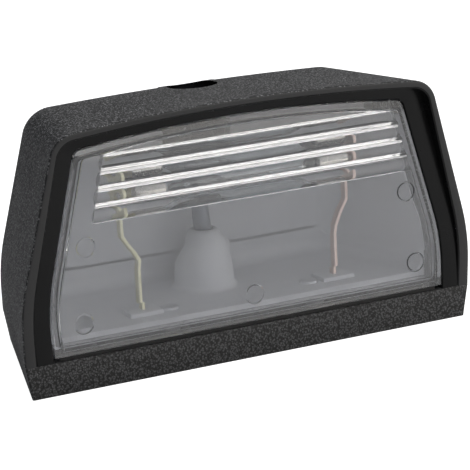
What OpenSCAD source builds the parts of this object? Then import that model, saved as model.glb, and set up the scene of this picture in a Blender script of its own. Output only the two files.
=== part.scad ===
// Number plate lamp: a black hood over a black base, with a clear fluted lens in its front.
// The mounting face is z = 0. The front is towards -Y, and x = 0 is the lamp's middle.
// Lengths along Y are written as depths behind the front face of the base.

/* [Base] */
// Height of the base
base_h = 5.5; // [5:0.1:8]
// Depth of the base, front to back
base_d = 35.2; // [33:0.2:42]
// How far the ends and the back of the base draw in towards the bottom
base_draft = 0.9; // [0:0.1:1.5]
// Thickness of the base's floor
floor_t = 2.2; // [1.8:0.1:2.6]
// Thickness of the base's outer wall
base_wall = 3.2; // [2.6:0.1:4]
// Height of the upstand that locates the hood
upstand_h = 1.6; // [1:0.1:2.2]
// Thickness of that upstand
upstand_t = 1.3; // [1:0.1:1.8]

/* [Hood] */
// Width of the rim at its foot
rim_w = 82; // [76:1:96]
// Width of the rim between its top corners
rim_top_w = 68.2; // [64:0.2:72]
// Width of the back at its foot
back_w = 62; // [58:0.5:70]
// Width of the back between its top corners
back_top_w = 58; // [54:0.5:62]
// Height of the top corners over the base
hood_h = 36.8; // [35:0.2:42]
// How much lower the ridge at the back lies
ridge_drop = 0.4; // [0:0.1:1.5]
// Depth of that ridge, which is shorter than the foot because the back slopes
ridge_d = 22.8; // [22:0.2:27]
// How far the rim leans out over the front at its top
rim_lean = 1.5; // [0.5:0.1:2.5]
// Height of the knee, where the sides begin to draw in
knee_h = 9; // [6:0.5:12]
// Bulge of the sides at the knee
knee_bulge = 0.6; // [0:0.05:1]
// Rise of the arched top over its corners
arch = 1.8; // [0.8:0.1:3]
// Radius of the top corners
corner_r = 4.6; // [3:0.1:6]
// Radius of the ridge and of the back's edges
ridge_r = 0.8; // [0.6:0.1:2]
// Thickness of the hood's walls
wall = 1.8; // [1.4:0.1:2.2]
// Width of the smooth rim face at its foot
rim_face_foot = 2.2; // [1.6:0.1:2.8]
// Width of the smooth rim face at the top
rim_face_top = 1.3; // [1:0.1:1.8]

/* [Lens] */
// Distance from the rim's outer edge to the lens at the sides
lens_side = 5.3; // [4.6:0.1:6.5]
// Distance from the rim's outer edge to the lens at the top
lens_top = 3.3; // [2.8:0.1:4.5]
// Space under the lens, over the base
lens_foot = 0.7; // [0.5:0.1:1.2]
// Angle by which the lens leans back
lens_tilt = 1.7; // [0:0.1:3]
// How far the lens stands in front of the base
lens_proud = 0.37; // [0:0.05:0.8]
// Thickness of the clear face
lens_t = 2; // [1.6:0.1:2.4]
// Width of the border round the raised face
lens_border = 1.3; // [0.9:0.1:1.8]
// Height of the raised face over that border
lens_step = 0.5; // [0.2:0.05:0.8]
// Width of the flange by which the lens is held behind the hood
lens_flange = 1.5; // [1:0.1:1.8]
// Thickness of that flange
lens_flange_t = 1.4; // [1:0.1:2]
// Thickness of the hood's own flange in front of it
hood_flange_t = 1.7; // [1.3:0.1:2.2]
// Number of flutes across the top of the lens
flutes = 4; // [2:1:5]
// Height of one flute
flute_pitch = 2.75; // [2:0.05:3]
// Depth of one flute
flute_depth = 0.9; // [0.4:0.1:1]
// Diameter of the round pin marks on the lens
pin_mark_d = 3.4; // [2:0.1:5]

/* [Seals] */
// Thickness of the seal behind the hood's flange
lens_seal_t = 0.8; // [0.5:0.1:1.2]
// Depth of the groove for the seal under the hood
seal_groove = 0.8; // [0.5:0.1:1.2]
// Width of that groove
seal_w = 1; // [0.8:0.1:1.2]
// Depth of the groove in the mounting face
foot_seal_t = 1; // [0.6:0.1:1.2]
// Width of the groove in the mounting face
foot_seal_w = 2; // [1.4:0.1:2.4]

/* [Cover screw] */
// Distance of the screw from the front of the base
screw_depth = 19.7; // [18:0.1:21]
// Diameter of the screw's well in the top
well_d = 8.6; // [8:0.1:9.6]
// Depth of the well under the top corners
well_depth = 4.7; // [4:0.1:6]
// Diameter of the screw's head
head_d = 7.6; // [6.8:0.1:7.8]
// Height of the screw's head
head_h = 2.4; // [1.8:0.1:3]
// Diameter of the screw
screw_d = 3; // [3:0.5:4]
// Height of the screw's lower end over the mounting face
screw_end = 5; // [4:0.5:7]
// Thickness of the sealing washer
washer_t = 1; // [0.6:0.1:1.4]

/* [Reflector] */
// Height of its floor over the mounting face
tray_z = 8; // [7.2:0.1:9]
// Wall thickness of the reflector
tray_t = 1.3; // [1:0.1:1.5]
// How far its top edge lies under the hood's top corners
tray_drop = 6.3; // [5.5:0.1:14]
// Diameter of the dome's foot
dome_d = 10.2; // [9.8:0.1:11.8]
// Height of the dome's top over the mounting face
dome_top = 18.2; // [17:0.2:20]
// Width of the dome's flat top round the screw's hole
dome_lip = 0.6; // [0.5:0.1:1.2]

/* [Bulb and contacts] */
// Length of the bulb between the contacts
bulb_l = 42; // [38:1:44]
// Diameter of the bulb's glass
bulb_d = 10.5; // [8:0.5:11]
// Diameter of the bulb's end caps
cap_d = 7; // [6:0.5:8]
// Distance of the bulb from the front of the base
bulb_depth = 10.5; // [10.4:0.1:11]
// How far the bulb's middle lies under the hood's top corners
bulb_drop = 12.1; // [12:0.1:13.4]
// Sideways offset of the bulb and the contacts
optics_x = 2; // [0:0.1:2.5]
// Sideways offset of the flutes, which sit in front of the bulb's middle
flutes_x = 2.8; // [0:0.1:3]
// Thickness of the contact strips
strip_t = 0.6; // [0.4:0.05:0.8]
// Width of a strip's stem
stem_w = 1.4; // [1:0.1:3]
// Width of a strip's head
strip_head_w = 5.4; // [4.5:0.1:6]
// How far each strip steps outwards
joggle = 2.8; // [2:0.1:3.5]
// Height at which that step begins
joggle_low = 17.1; // [15:0.1:19]
// Height at which that step ends
joggle_high = 21.6; // [20:0.1:24]
// Height of the blocks that the strips stand in, over the reflector's floor
block_h = 0.8; // [0.8:0.1:2]
// Diameter of the rivets' shanks
rivet_d = 2; // [1.6:0.1:2.4]

/* [Fixings] */
// Distance between the two mounting threads
mount_pitch = 54; // [50:1:56]
// Diameter of the mounting threads
mount_d = 4; // [3:0.5:4]
// Outer diameter of the brass inserts
insert_d = 6; // [5.6:0.1:6.4]
// Diameter of the cable entry's hole in the base
entry_d = 9; // [8:0.5:10]
// Diameter of the passage through the grommet
cable_d = 4.4; // [3:0.2:5]
// Distance of the cable entry from the lamp's middle
entry_x = 10.5; // [9:0.5:12]
// Distance between the reflector's screws
tray_screw_pitch = 48; // [44:1:50]
// Diameter of the reflector's screws
tray_screw_d = 2.2; // [2:0.1:2.6]

/* [Hidden] */
$fn = 48;
// Clearance between pieces that go together, and the overrun of a cut
gap = 0.25;
over = 1;

// Outlines run from the right foot over the top to the left foot, as heights over the base.
// A set of sizes holds the half widths and heights of foot, knee and corner, then rise and radius.
rim_sizes = [rim_w / 2, rim_w / 2 + knee_bulge / 2, knee_h, rim_top_w / 2, hood_h, arch, corner_r];
back_sizes = [back_w / 2, back_w / 2 + knee_bulge * 2, knee_h, back_top_w / 2, hood_h - ridge_drop,
    arch * 0.4, corner_r];
lens_sizes = inset(rim_sizes, lens_side, lens_side, lens_top);
recess_sizes = inset(rim_sizes, rim_face_foot, rim_face_top, rim_face_top);
lens_flange_sizes = inset(lens_sizes, -lens_flange, -lens_flange, wall + 2 * gap - lens_top);

// Depths behind the lens face, in the order in which the layers lie
hood_face_at = lens_step;
hood_flange_at = hood_face_at + hood_flange_t;
lens_flange_at = hood_flange_at + lens_seal_t;
lens_back_at = lens_flange_at + lens_flange_t;
skirt_t = 1.4;

// Screw, well and boss in the hood
seat_z = base_h + hood_h - well_depth;
boss_wall = 1.5;
shank_hole_d = screw_d + 0.6;
stem_boss_d = shank_hole_d + 2 * boss_wall - 0.8;
boss_end_z = dome_top + 4.5;
web_drop = 6;
collar_fall = 16;
pillar_top = 12;
pillar_d = 7.4;
pillar_insert_h = 8;
pillar_insert_d = 5.2;

// Reflector
tray_side = wall + upstand_t + 2 * gap;
tray_back = tray_side + gap + upstand_h * (base_d - ridge_d) / hood_h;
tray_front = lens_back_at + 0.9;
tray_top = base_h + hood_h - tray_drop;
tray_bottom = tray_z - tray_t;
dome_flat_d = shank_hole_d + 2 * dome_lip;
block_w = 6;
block_d = 4.5;
rivet_head_d = rivet_d * 1.7;
rivet_in = block_w / 2 + rivet_head_d / 2 + gap;
rivet_head_h = 0.6;

// Contacts and bulb
bulb_z = base_h + hood_h - bulb_drop;
head_x = bulb_l / 2 + strip_t / 2 - cone_depth();
stem_x = head_x - joggle;
strip_top = bulb_z + 3.6;
head_foot = bulb_z - 3.8;
cone_hole_d = 3;
foot_t = strip_t;
foot_w = 4.4;
tag_t = 0.6;
tag_w = 3.4;
tag_l = 7;
cap_l = 7;
glass_t = 0.6;
neck_d = cap_d - 1.2;
filament_d = 0.9;
filament_l = 12;

// Fixings in the base
mount_depth = base_d / 2;
insert_h = tray_bottom - 0.8;
insert_wall = 1.5;
insert_boss_d = insert_d + 2 * insert_wall;
entry_back = 3.8;
entry_depth = screw_depth + entry_back;
grommet_lip = 1.2;
grommet_lip_h = 1.4;
tray_screw_back = 8.4;
tray_screw_depth = mount_depth + tray_screw_back;
tray_screw_head_d = tray_screw_d * 2;
tray_screw_head_h = 1.4;
tray_screw_l = tray_bottom - 0.4;
foot_seal_in = 1.6;

// The cone of a bulb cap reaches this far into the hole of its contact
function cone_depth() = 0.2;

function unit(v) = v / norm(v);
function mix(a, b, u) = a + (b - a) * u;
function bend(a, b, c, u) = mix(mix(a, b, u), mix(b, c, u), u);

// Sizes of the outline that lies inside another one: at its foot, at its corners and at its top
function inset(s, foot, corner, top) =
    let (lean = (s[1] - s[3]) / (s[4] - s[2]))
    [s[0] - foot, s[1] - foot, s[2], s[3] + lean * top - corner, s[4] - top, s[5],
        max(s[6] - top, 0.8)];

// Right half of an outline: foot, rounded knee, corner arc and arched top
function half_outline(s, foot_h) =
    let (foot = [s[0], foot_h], knee = [s[1], s[2]], corner = [s[3], s[4]],
        soft = min(5, 0.6 * (s[2] - max(foot_h, 0))),
        down = unit(knee - corner), inward = unit([-s[3], 2 * s[5]]),
        half_angle = acos(down * inward) / 2,
        reach = s[6] / tan(half_angle),
        centre = corner + unit(down + inward) * s[6] / sin(half_angle),
        first = corner + down * reach - centre, last = corner + inward * reach - centre,
        from = atan2(first[1], first[0]), to = atan2(last[1], last[0]),
        start = centre + last,
        arch_at = s[4] + s[5] * (1 - pow(start[0] / s[3], 2)),
        lift = start[1] - arch_at)
    concat([foot],
        [for (i = [0 : 4]) bend(knee + unit(foot - knee) * soft, knee, knee - down * soft, i / 4)],
        [for (i = [0 : 7]) centre + s[6] * [cos(mix(from, to, i / 7)), sin(mix(from, to, i / 7))]],
        [for (i = [1 : 9]) let (x = start[0] * (1 - i / 9))
            [x, s[4] + s[5] * (1 - pow(x / s[3], 2)) + lift * pow(x / start[0], 2)]]);

// Whole outline, the right half and its mirror image
function outline(s, foot_h) =
    let (half = half_outline(s, foot_h), n = len(half))
    concat(half, [for (i = [n - 2 : -1 : 0]) [-half[i][0], half[i][1]]]);

// Depth of the rim's plane and of the back's plane at a height over the base
function rim_depth(h) = -rim_lean * h / hood_h;
function back_depth(h) = base_d - (base_d - ridge_d) * h / (hood_h - ridge_drop);

// One ring of the hood's loft: u goes from the rim to the back, in is the distance inside the skin
function hood_ring(u, in, shift, foot_h) =
    [for (p = outline(inset(mix(rim_sizes, back_sizes, u + shift / base_d), in, in, in), foot_h))
        [p[0], mix(rim_depth(p[1]), back_depth(p[1]), u) + shift, base_h + p[1]]];

// Half width of the base at a depth, and the plan of the base between two depths
function half_width(depth) = mix(rim_w, back_w, depth / base_d) / 2;
function plan(in, front, back) =
    [[-half_width(front) + in, front], [-half_width(back) + in, back],
        [half_width(back) - in, back], [half_width(front) - in, front]];

// The same plan with its two front and its two back corners rounded
function rounded_plan(in, front, back, front_r, back_r) =
    let (p = plan(in, front, back))
    [for (i = [0 : 3]) let (a = p[(i + 3) % 4], b = p[i], c = p[(i + 1) % 4],
        r = i == 1 || i == 2 ? back_r : front_r)
        for (k = [0 : 4]) bend(b + unit(a - b) * r, b, b + unit(c - b) * r, k / 4)];

// Solid through rings that have the same number of points
module loft(rings) {
    n = len(rings[0]);
    last = len(rings) - 1;
    polyhedron([for (ring = rings) for (p = ring) p],
        concat([[for (i = [n - 1 : -1 : 0]) i]],
            [for (r = [0 : last - 1]) for (i = [0 : n - 1])
                [r * n + i, r * n + (i + 1) % n, (r + 1) * n + (i + 1) % n]],
            [for (r = [0 : last - 1]) for (i = [0 : n - 1])
                [r * n + i, (r + 1) * n + (i + 1) % n, (r + 1) * n + i]],
            [[for (i = [0 : n - 1]) last * n + i]]));
}

// Puts depths behind the front face into the lamp's own frame
module from_front() {
    translate([0, -base_d / 2, 0]) children();
}

// Stands a flat outline in the lens plane, as a layer between two depths behind the lens face
module lens_layer(near, far) {
    from_front() translate([0, -lens_proud, base_h]) rotate([90 - lens_tilt, 0, 0])
        translate([0, 0, -far]) linear_extrude(far - near) children();
}

// A block between two depths behind the lens face that is larger than the lamp
module lens_slab(near, far) {
    lens_layer(near, far) translate([-rim_w, -2 * hood_h]) square([2 * rim_w, 4 * hood_h]);
}

module at_screw(z) {
    from_front() translate([0, screw_depth, z]) children();
}

module at_mounts(z) {
    for (side = [-1, 1]) from_front() translate([side * mount_pitch / 2, mount_depth, z]) children();
}

module at_tray_screws(z) {
    for (side = [-1, 1])
        from_front() translate([side * tray_screw_pitch / 2, tray_screw_depth, z]) children();
}

module at_entry(z) {
    from_front() translate([-entry_x, entry_depth, z]) children();
}

// Runs its children once for a side, 1 for the right and -1 for the left
module at_contact(side) {
    from_front() translate([optics_x, bulb_depth, 0]) mirror([side < 0 ? 1 : 0, 0, 0]) children();
}

module tube(outer_d, inner_d, h) {
    difference() {
        cylinder(d = outer_d, h = h);
        translate([0, 0, -over]) cylinder(d = inner_d, h = h + 2 * over);
    }
}

// Ring that follows the plan of the base
module plan_ring(in, width, front, back, r) {
    difference() {
        polygon(rounded_plan(in, front, back, r, r));
        polygon(rounded_plan(in + width, front + width, back - width, r, r));
    }
}

module seal_channel() {
    from_front() translate([0, 0, base_h - seal_groove]) linear_extrude(seal_groove)
        plan_ring(0.4, seal_w, 0.7, base_d - 0.4, 0.6);
}

module base() {
    inner_back = base_d - base_wall;
    upstand_back = back_depth(upstand_h) - wall - 2 * gap;
    color("#303031") difference() {
        union() {
            difference() {
                from_front() loft([
                    [for (p = rounded_plan(base_draft, 0.1, base_d - base_draft, 0.5, ridge_r))
                        [p[0], p[1], 0]],
                    [for (p = rounded_plan(0, 0, base_d, 0.4, ridge_r)) [p[0], p[1], base_h]]]);
                from_front() translate([0, 0, floor_t]) linear_extrude(base_h)
                    polygon(rounded_plan(base_wall, tray_front - 0.4, inner_back, 1.5, 1.5));
            }
            // Upstand along the ends and the back
            from_front() translate([0, 0, floor_t]) linear_extrude(base_h - floor_t + upstand_h)
                difference() {
                    plan_ring(wall + gap, upstand_t, -tray_front, upstand_back, 2.4);
                    translate([-rim_w, -2 * tray_front]) square([2 * rim_w, 3 * tray_front]);
                }
            at_screw(0) cylinder(d = pillar_d, h = pillar_top);
            at_mounts(0) cylinder(d = insert_boss_d, h = tray_bottom);
            at_tray_screws(0) cylinder(d = tray_screw_d + 4, h = tray_bottom - 1.4);
            at_entry(0) cylinder(d = entry_d + 3, h = floor_t + 0.8);
            // Ribs that stiffen the floor
            from_front() for (side = [-1, 1])
                translate([side * mount_pitch * 0.37 - 0.6, tray_front - 1, 0])
                    cube([1.2, base_d - base_wall - tray_front + 2, floor_t + 1]);
        }
        seal_channel();
        at_screw(pillar_top - pillar_insert_h) cylinder(d = pillar_insert_d, h = pillar_insert_h + over);
        at_mounts(-over) cylinder(d = insert_d, h = insert_h + over);
        at_entry(-over) cylinder(d = entry_d, h = 4 * floor_t);
        at_tray_screws(-over) cylinder(d = tray_screw_d + 0.2, h = 2 * tray_bottom);
        at_tray_screws(-over) cylinder(d = tray_screw_head_d + 0.6, h = tray_screw_head_h + over);
        from_front() translate([0, 0, -over]) linear_extrude(foot_seal_t + over)
            plan_ring(base_draft + foot_seal_in, foot_seal_w, foot_seal_in,
                base_d - base_draft - foot_seal_in, 2);
    }
}

module mounting_seal() {
    color("#1d1d1f") from_front() linear_extrude(foot_seal_t)
        plan_ring(base_draft + foot_seal_in, foot_seal_w, foot_seal_in,
            base_d - base_draft - foot_seal_in, 2);
}

module mounting_inserts() {
    color("#b8964a") at_mounts(0) difference() {
        union() {
            cylinder(d = insert_d, h = insert_h * 0.3);
            cylinder(d = insert_d - 0.5, h = insert_h * 0.7);
            translate([0, 0, insert_h * 0.7]) cylinder(d = insert_d, h = insert_h * 0.3);
        }
        translate([0, 0, -over]) cylinder(d = mount_d - 0.7, h = insert_h + 2 * over);
    }
}

// Rubber sleeve with a flange on the inside of the floor
module cable_grommet() {
    color("#222224") at_entry(0) difference() {
        union() {
            cylinder(d = entry_d, h = floor_t + 0.8);
            translate([0, 0, floor_t + 0.8]) 
                cylinder(d1 = entry_d + 2 * grommet_lip, d2 = entry_d, h = grommet_lip_h);
        }
        translate([0, 0, -over]) cylinder(d = cable_d, h = base_h + 2 * over);
    }
}

// Cord seal in the base's channel, with a raised front run that closes the slot under the lens
module hood_seal() {
    color("#1b1b1d") {
        seal_channel();
        from_front() translate([-lens_sizes[0] + 1, 0.7, base_h - over * 0.1])
            cube([2 * lens_sizes[0] - 2, seal_w, lens_foot - 0.2 + over * 0.1]);
    }
}

module hood_skin() {
    edge = 0.4;
    from_front() loft(concat(
        [for (i = [0 : 3]) hood_ring(0, edge * (1 - sin(i * 30)), edge * (1 - cos(i * 30)), 0)],
        [for (i = [1 : 5]) hood_ring(i / 6, 0, 0, 0)],
        [for (i = [0 : 4])
            hood_ring(1, ridge_r * (1 - cos(i * 22.5)), -ridge_r * (1 - sin(i * 22.5)), 0)]));
}

// All that lies under the hood's top surface, which goes on behind the ridge and falls away there
module hood_top_block() {
    from_front() loft([hood_ring(0, 0, 0, 0), hood_ring(0.5, 0, 0, 0), hood_ring(1, 0, 0, 0),
        hood_ring(1, well_d * tan(collar_fall), well_d, 0)]);
}

// Space inside the walls, behind the flange that holds the lens
module hood_hollow() {
    difference() {
        from_front() loft(concat(
            [for (i = [-1 : 5]) hood_ring(i / 6, wall, 0, 0)],
            [hood_ring(1, wall, -wall - ridge_r, 0), hood_ring(1, wall + 0.6, -wall, 0)]));
        lens_slab(-base_d, hood_flange_at);
    }
}

module hood() {
    color("#414143") difference() {
        union() {
            difference() {
                hood_skin();
                hood_hollow();
            }
            intersection() {
                hood_top_block();
                at_screw(seat_z - boss_wall) cylinder(d = well_d + 2 * boss_wall, h = hood_h);
            }
            intersection() {
                hood_skin();
                union() {
                    at_screw(boss_end_z) cylinder(d = stem_boss_d, h = hood_h);
                    // Web that ties the screw's boss to the back
                    from_front() translate([-boss_wall / 2, screw_depth, boss_end_z + web_drop])
                        cube([boss_wall, base_d, seat_z - boss_end_z - web_drop]);
                }
            }
        }
        lens_layer(-base_d, hood_face_at) polygon(outline(recess_sizes, -2 * over));
        lens_layer(-base_d, base_d / 4) polygon(outline(inset(lens_sizes, -gap, -gap, -gap), -2 * over));
        at_screw(seat_z) cylinder(d = well_d, h = hood_h);
        at_screw(base_h) cylinder(d = shank_hole_d, h = hood_h);
    }
}

module lens_seal() {
    color("#1b1b1d") lens_layer(hood_flange_at, lens_flange_at) difference() {
        polygon(outline(lens_flange_sizes, lens_foot));
        polygon(outline(inset(lens_sizes, -gap, -gap, -gap), -over));
    }
}

// Half-round bars on the inside of the face, cut to the leaning ends of the clear field
module flute_bars() {
    low = hood_h - lens_top - 1.2 - flutes * flute_pitch;
    high = low + flutes * flute_pitch;
    end_low = lens_sizes[3] + 0.3;
    end_high = lens_sizes[3] - 2.5;
    radius = (pow(flute_pitch / 2, 2) + pow(flute_depth, 2)) / (2 * flute_depth);
    intersection() {
        union() for (i = [0 : flutes - 1])
            from_front() translate([0, -lens_proud, base_h]) rotate([90 - lens_tilt, 0, 0])
                translate([0, low + (i + 0.5) * flute_pitch, radius - flute_depth - lens_t])
                    rotate([0, 90, 0]) cylinder(r = radius, h = 2 * rim_w, center = true, $fn = 64);
        lens_layer(lens_t - 0.1, lens_t + flute_depth + over) intersection() {
            translate([flutes_x, 0])
                polygon([[-end_low, low], [end_low, low], [end_high, high], [-end_high, high]]);
            polygon(outline(inset(lens_sizes, skirt_t, skirt_t, skirt_t), lens_foot));
        }
    }
}

// Round marks that the mould's pins leave, just sunk into the raised face
module pin_marks() {
    mark_sink = 0.15;
    upper_in = 6.7;
    lower_in = 5.5;
    upper_x = lens_sizes[1] - upper_in;
    lower_x = lens_sizes[1] - lower_in;
    for (p = [[-upper_x, 18.1], [upper_x, 18.1], [-lower_x, 5.7], [0, 5.4], [lower_x, 5.7]])
        lens_layer(-over, mark_sink) translate(p) difference() {
            circle(d = pin_mark_d);
            circle(d = pin_mark_d - 0.5);
        }
}

module lens() {
    inner_sizes = inset(lens_sizes, lens_border, lens_border, lens_border);
    color("#cfd4d8", 0.45) difference() {
        union() {
            lens_layer(0, lens_step + 0.2) polygon(outline(inner_sizes, lens_foot + lens_border * 0.7));
            lens_layer(lens_step, lens_t) polygon(outline(lens_sizes, lens_foot));
            difference() {
                lens_layer(lens_t - 0.1, lens_back_at) polygon(outline(lens_sizes, lens_foot));
                lens_layer(lens_t - 1, lens_back_at + over)
                    polygon(outline(inset(lens_sizes, skirt_t, skirt_t, skirt_t), lens_foot + skirt_t));
            }
            difference() {
                lens_layer(lens_flange_at, lens_back_at) polygon(outline(lens_flange_sizes, lens_foot));
                lens_layer(lens_t, lens_back_at + over)
                    polygon(outline(inset(lens_sizes, skirt_t, skirt_t, skirt_t), lens_foot + skirt_t));
            }
            flute_bars();
        }
        pin_marks();
    }
}

// Dome round the cover screw, which narrows faster and faster towards its flat top
module dome() {
    steps = 12;
    rotate_extrude() polygon(concat([[0, tray_bottom]],
        [for (i = [0 : steps]) let (u = i / steps)
            [mix(dome_d, dome_flat_d, pow(u, 2.6)) / 2, mix(tray_z, dome_top, u)]],
        [[0, dome_top]]));
}

module reflector() {
    color("#8e9096") difference() {
        union() {
            tray_shell();
            at_screw(0) dome();
            for (side = [-1, 1]) at_contact(side)
                translate([stem_x - block_w / 2, -block_d / 2, tray_z - 0.1])
                    cube([block_w, block_d, block_h + 0.1]);
            at_tray_screws(tray_bottom - 1.2) cylinder(d = tray_screw_d + 3, h = 1.3);
        }
        at_screw(tray_bottom - over) cylinder(d = pillar_d + 2 * gap, h = pillar_top - tray_bottom + over + gap);
        at_screw(base_h) cylinder(d = shank_hole_d, h = hood_h);
        at_screw(boss_end_z - over) cylinder(d = well_d + 2 * boss_wall + 1, h = hood_h);
        at_tray_screws(0) cylinder(d = tray_screw_d, h = tray_z - 0.3);
        for (side = [-1, 1]) at_contact(side) {
            translate([stem_x - strip_t / 2 - 0.1, -stem_w / 2 - 0.1, 0])
                cube([strip_t + 0.2, stem_w + 0.2, hood_h]);
            translate([stem_x - rivet_in, 0, 0]) cylinder(d = rivet_d, h = hood_h);
        }
    }
}

// Space inside the hood that keeps clear of its skin by in, and of its back by back_in
module tray_block(first, in, foot_h, back_in) {
    from_front() loft(concat(
        [for (u = [first, 2 / 3]) hood_ring(u, in, 0, foot_h)],
        [hood_ring(1, in, -back_in - 2, foot_h), hood_ring(1, in + 1, -back_in, foot_h)]));
}

// Walls and floor of the reflector, open in front and cut level at the top
module tray_shell() {
    intersection() {
        difference() {
            tray_block(-1 / 6, tray_side, tray_bottom - base_h, tray_back);
            tray_block(-1 / 3, tray_side + tray_t, tray_z - base_h, tray_back + tray_t);
        }
        lens_slab(tray_front, 2 * base_d);
        translate([-rim_w, -base_d, 0]) cube([2 * rim_w, 2 * base_d, tray_top]);
    }
}

module reflector_screws() {
    color("#9a9da0") at_tray_screws(0) {
        difference() {
            cylinder(d = tray_screw_head_d, h = tray_screw_head_h);
            translate([0, 0, -over]) cylinder(d = tray_screw_d * 0.7, h = over + 0.8, $fn = 6);
        }
        translate([0, 0, tray_screw_head_h]) cylinder(d = tray_screw_d, h = tray_screw_l - tray_screw_head_h);
    }
}

// Path of a strip in the X-Z plane, from its foot under the reflector to its head
module strip_side_view() {
    half = strip_t / 2;
    slant = half * tan(atan2(joggle, joggle_high - joggle_low) / 2);
    polygon([
        [stem_x - half, tray_bottom - foot_t],
        [stem_x + half, tray_bottom - foot_t],
        [stem_x + half, joggle_low - slant],
        [head_x + half, joggle_high - slant],
        [head_x + half, strip_top],
        [head_x - half, strip_top],
        [head_x - half, joggle_high + slant],
        [stem_x - half, joggle_low + slant]]);
}

module contact_strip(side) {
    at_contact(side) difference() {
        union() {
            intersection() {
                translate([0, strip_head_w / 2, 0]) rotate([90, 0, 0]) linear_extrude(strip_head_w) strip_side_view();
                union() {
                    translate([0, -stem_w / 2, 0]) cube([rim_w, stem_w, head_foot + over]);
                    translate([0, -strip_head_w / 2, head_foot]) cube([rim_w, strip_head_w, hood_h]);
                }
            }
            // Foot under the reflector, which the rivet holds
            translate([stem_x - rivet_in - foot_w / 2, -foot_w / 2, tray_bottom - foot_t])
                cube([rivet_in + foot_w / 2 + strip_t / 2, foot_w, foot_t]);
        }
        translate([0, 0, bulb_z]) rotate([0, 90, 0]) cylinder(d = cone_hole_d, h = rim_w);
        translate([stem_x - rivet_in, 0, 0]) cylinder(d = rivet_d, h = tray_z);
    }
}

module contact_strip_left() {
    color("#d8cd9c") contact_strip(-1);
}

module contact_strip_right() {
    color("#cf9f86") contact_strip(1);
}

module contact_rivets() {
    top = tray_z;
    bottom = tray_bottom - foot_t - tag_t;
    color("#c9ccd0") for (side = [-1, 1]) at_contact(side) translate([stem_x - rivet_in, 0, 0]) {
        translate([0, 0, bottom]) cylinder(d = rivet_d, h = top - bottom);
        translate([0, 0, top]) cylinder(d1 = rivet_head_d, d2 = rivet_head_d * 0.7, h = rivet_head_h);
        translate([0, 0, bottom - rivet_head_h]) cylinder(d = rivet_head_d, h = rivet_head_h);
    }
}

// Tinned tags under the strips' feet, for the two leads
module terminal_tags() {
    z = tray_bottom - foot_t - tag_t;
    color("#d5d7d9") for (side = [-1, 1]) at_contact(side) translate([stem_x - rivet_in, 0, z]) difference() {
        union() {
            cylinder(d = tag_w + 1, h = tag_t);
            translate([-tag_w / 2, 0, 0]) cube([tag_w, tag_l, tag_t]);
        }
        translate([0, 0, -over]) cylinder(d = rivet_d, h = 2 * over + tag_t);
        translate([0, tag_l - 2.2, -over]) cylinder(d = 1.6, h = 2 * over + tag_t);
    }
}

module along_bulb() {
    from_front() translate([optics_x, bulb_depth, bulb_z]) rotate([0, 90, 0]) children();
}

// Blown tube with drawn-in ends, closed off inside the caps
module bulb_glass() {
    half = bulb_l / 2 - cap_l + 1.5;
    shoulder = half - 4;
    inner = bulb_d / 2 - glass_t;
    color("#e8eef2", 0.35) along_bulb() rotate_extrude() polygon([
        [0, -half], [neck_d / 2, -half], [neck_d / 2, -half + 1.5], [bulb_d / 2 - 0.5, -shoulder],
        [bulb_d / 2, -shoulder + 1.5], [bulb_d / 2, shoulder - 1.5], [bulb_d / 2 - 0.5, shoulder],
        [neck_d / 2, half - 1.5], [neck_d / 2, half], [0, half],
        [0, half - 2], [neck_d / 2 - glass_t, half - 2], [inner - 0.4, shoulder - 0.3],
        [inner, shoulder - 1.8], [inner, -shoulder + 1.8], [inner - 0.4, -shoulder + 0.3],
        [neck_d / 2 - glass_t, -half + 2], [0, -half + 2]]);
}

// Cap with a cone that sits in the contact's hole
module bulb_cap(side) {
    end = bulb_l / 2;
    tip = 1.6;
    color("#d2d4d6") along_bulb() mirror([0, 0, side < 0 ? 1 : 0]) difference() {
        union() {
            translate([0, 0, end - cap_l]) cylinder(d = cap_d, h = cap_l - tip);
            translate([0, 0, end - tip]) cylinder(d1 = cap_d - 0.6, d2 = cone_hole_d - 0.6, h = tip);
        }
        translate([0, 0, end - cap_l - over]) cylinder(d = neck_d, h = over + 1.5);
    }
}

module bulb_cap_left() {
    bulb_cap(-1);
}

module bulb_cap_right() {
    bulb_cap(1);
}

// Coiled wire as one plain rod, with the two wires that carry it
module bulb_filament() {
    lead_l = bulb_l / 2 - cap_l - 0.5;
    color("#6d6a66") along_bulb() {
        cylinder(d = filament_d, h = filament_l, center = true);
        cylinder(d = 0.35, h = 2 * lead_l, center = true, $fn = 16);
    }
}

module pillar_insert() {
    color("#b8964a") at_screw(pillar_top - pillar_insert_h) tube(pillar_insert_d, screw_d + 0.1, pillar_insert_h);
}

module screw_washer() {
    color("#202022") at_screw(seat_z) tube(head_d, screw_d + 0.1, washer_t);
}

module cover_screw() {
    head_z = seat_z + washer_t;
    color("#b9bcc0") at_screw(0) difference() {
        union() {
            translate([0, 0, screw_end]) cylinder(d = screw_d, h = head_z - screw_end);
            translate([0, 0, head_z]) cylinder(d = head_d, h = head_h * 0.5);
            translate([0, 0, head_z + head_h * 0.5]) cylinder(d1 = head_d, d2 = head_d * 0.7, h = head_h * 0.5);
        }
        for (turn = [0, 90]) rotate([0, 0, turn])
            translate([-head_d * 0.28, -0.45, head_z + head_h * 0.35]) cube([head_d * 0.56, 0.9, head_h]);
    }
}

base();
mounting_seal();
mounting_inserts();
cable_grommet();
hood_seal();
hood();
lens_seal();
lens();
reflector();
reflector_screws();
contact_strip_left();
contact_strip_right();
contact_rivets();
terminal_tags();
bulb_glass();
bulb_cap_left();
bulb_cap_right();
bulb_filament();
pillar_insert();
screw_washer();
cover_screw();
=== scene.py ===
"""Number plate lamp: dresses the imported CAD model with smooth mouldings, clear lens and real finishes."""

from math import acos, atan2, cos, pi, radians, sin, tan

import bmesh
import bpy
import numpy as np
from bpy.props import FloatProperty, FloatVectorProperty, IntProperty, PointerProperty
from mathutils import Matrix, Vector


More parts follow.
